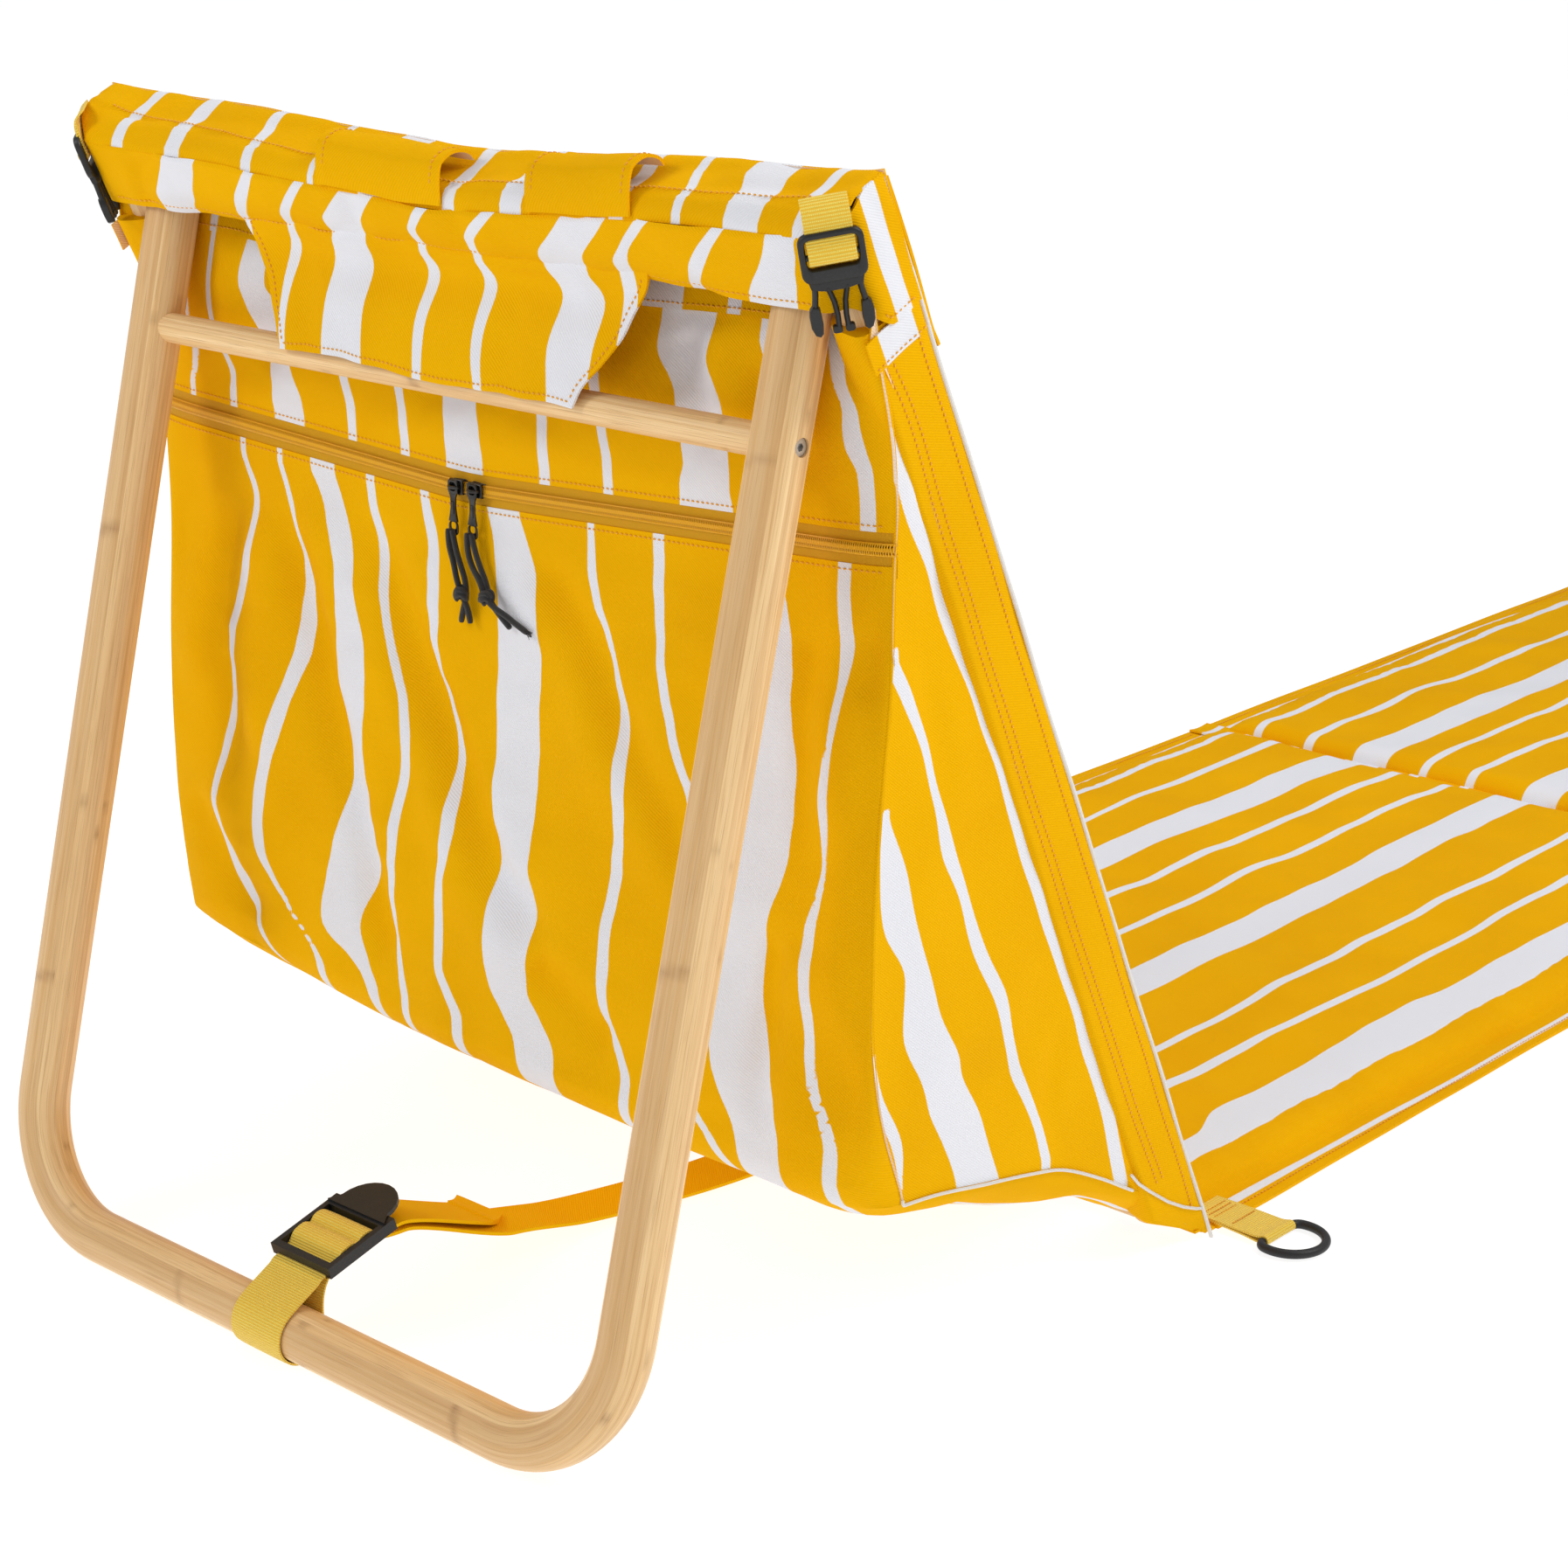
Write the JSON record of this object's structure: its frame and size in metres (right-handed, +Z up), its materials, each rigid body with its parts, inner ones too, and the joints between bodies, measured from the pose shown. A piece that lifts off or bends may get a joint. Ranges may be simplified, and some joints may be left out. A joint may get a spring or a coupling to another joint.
{
  "type": "bamboo folding recliner",
  "caption": "Low floor recliner: a padded folding mat, a reclined backrest on hidden poles, a bent bamboo rear prop frame and a zipped wedge bag behind the backrest.",
  "frame": {"origin": "centre of the footprint on the floor, at the middle of the overall box", "axes": "+Z up, X across the width, +Y from the foot end of the mat to the rear frame"},
  "size_m": [0.7074, 1.9707, 0.6534],
  "materials": {
    "bamboo": "satin lacquered laminated bamboo",
    "steel": "zinc plated",
    "striped_canvas": "yellow twill with off-white stripes",
    "plain_canvas": "plain yellow twill",
    "webbing": "ribbed yellow webbing",
    "black_plastic": "matt moulded",
    "blackened_metal": "black lacquered die cast",
    "zip_tape": "woven tape",
    "zip_coil": "nylon coil",
    "black_cord": "braided cord"
  },
  "bodies": {
    "seat_mat": {"seat_pad": "striped_canvas", "mat_fold_strip": "striped_canvas", "base_hinge_strip": "striped_canvas", "d_ring_webbing_left": "webbing", "d_ring_webbing_right": "webbing"},
    "leg_mat": {"leg_pad": "striped_canvas"},
    "backrest": {"front_pole_left": "bamboo", "front_pole_right": "bamboo", "front_top_bar": "bamboo", "front_bottom_bar": "bamboo", "front_frame_screws": "steel", "pivot_bolts": "steel", "pivot_nuts": "steel", "pivot_washers": "steel", "backrest_panel": "striped_canvas", "headrest_flap": "striped_canvas", "side_sleeve_left": "plain_canvas", "side_sleeve_right": "plain_canvas", "bag_upper_panel": "striped_canvas", "bag_rear_panel": "striped_canvas", "bag_bottom_panel": "striped_canvas", "bag_side_left": "striped_canvas", "bag_side_right": "striped_canvas", "zipper_tapes": "zip_tape", "zipper_coil": "zip_coil", "hood_cap": "striped_canvas", "hood_flap": "striped_canvas", "hood_tunnel_loops": "plain_canvas", "recline_strap": "plain_canvas", "strap_tail": "plain_canvas"},
    "rear_frame": {"rear_frame_tube": "bamboo", "cross_rung": "bamboo", "rung_screws": "steel", "bar_webbing": "webbing", "ladder_lock_buckle": "black_plastic"},
    "zip_slider_left": {"zip_slider_left": "blackened_metal"},
    "zip_slider_right": {"zip_slider_right": "blackened_metal"},
    "zip_pull_left": {"zip_pull_left": "blackened_metal", "pull_cord_left_a": "black_cord", "pull_cord_left_b": "black_cord", "pull_knot_left": "black_cord"},
    "zip_pull_right": {"zip_pull_right": "blackened_metal", "pull_cord_right_a": "black_cord", "pull_cord_right_b": "black_cord", "pull_knot_right": "black_cord"},
    "d_ring_left": {"d_ring_left": "black_plastic"},
    "d_ring_right": {"d_ring_right": "black_plastic"},
    "top_buckle_left": {"top_strap_left": "webbing", "top_buckle_left": "black_plastic"},
    "top_buckle_right": {"top_strap_right": "webbing", "top_buckle_right": "black_plastic"}
  },
  "joints": [
    {"name": "backrest_fold", "type": "hinge", "parent": "seat_mat", "child": "backrest", "pos_m": [0, 0.5206, 0.017], "axis": [1, 0, 0], "range_deg": [-2.5, 112], "deforming": ["base_hinge_strip"]},
    {"name": "rear_frame_fold", "type": "hinge", "parent": "backrest", "child": "rear_frame", "pos_m": [0, 0.81412, 0.59737], "axis": [-1, 0, 0], "range_deg": [-7, 28], "deforming": ["bag_upper_panel", "bag_rear_panel", "bag_bottom_panel", "bag_side_left", "bag_side_right", "zipper_tapes", "zipper_coil", "hood_flap", "recline_strap", "strap_tail"]},
    {"name": "leg_pad_fold", "type": "hinge", "parent": "seat_mat", "child": "leg_mat", "pos_m": [0, -0.2904, 0.017], "axis": [1, 0, 0], "range_deg": [-175, 0], "deforming": ["mat_fold_strip"]},
    {"name": "zip_slide_left", "type": "slide", "parent": "backrest", "child": "zip_slider_left", "axis": [0.9988, -0.0013, 0.0479], "range_m": [0, 0.195]},
    {"name": "zip_slide_right", "type": "slide", "parent": "backrest", "child": "zip_slider_right", "axis": [-0.9988, -0.0013, 0.0479], "range_m": [0, 0.195]},
    {"name": "zip_pull_swing_left", "type": "hinge", "parent": "zip_slider_left", "child": "zip_pull_left", "pos_m": [0.0186, 0.81158, 0.45549], "axis": [1, 0, 0], "range_deg": [0, 90]},
    {"name": "zip_pull_swing_right", "type": "hinge", "parent": "zip_slider_right", "child": "zip_pull_right", "pos_m": [0.0034, 0.81158, 0.45549], "axis": [1, 0, 0], "range_deg": [0, 90]},
    {"name": "d_ring_swing_left", "type": "hinge", "parent": "seat_mat", "child": "d_ring_left", "pos_m": [0.321, 0.4921, 0.00285], "axis": [0, -1, 0], "range_deg": [0, 165]},
    {"name": "d_ring_swing_right", "type": "hinge", "parent": "seat_mat", "child": "d_ring_right", "pos_m": [-0.321, 0.4921, 0.00285], "axis": [0, 1, 0], "range_deg": [0, 165]},
    {"name": "top_buckle_swing_left", "type": "hinge", "parent": "backrest", "child": "top_buckle_left", "pos_m": [0.28314, 0.84859, 0.63428], "axis": [0.7071, -0.6409, 0.2988], "range_deg": [0, 100]},
    {"name": "top_buckle_swing_right", "type": "hinge", "parent": "backrest", "child": "top_buckle_right", "pos_m": [-0.28314, 0.84859, 0.63428], "axis": [0.7071, 0.6409, -0.2988], "range_deg": [0, 100]}
  ]
}
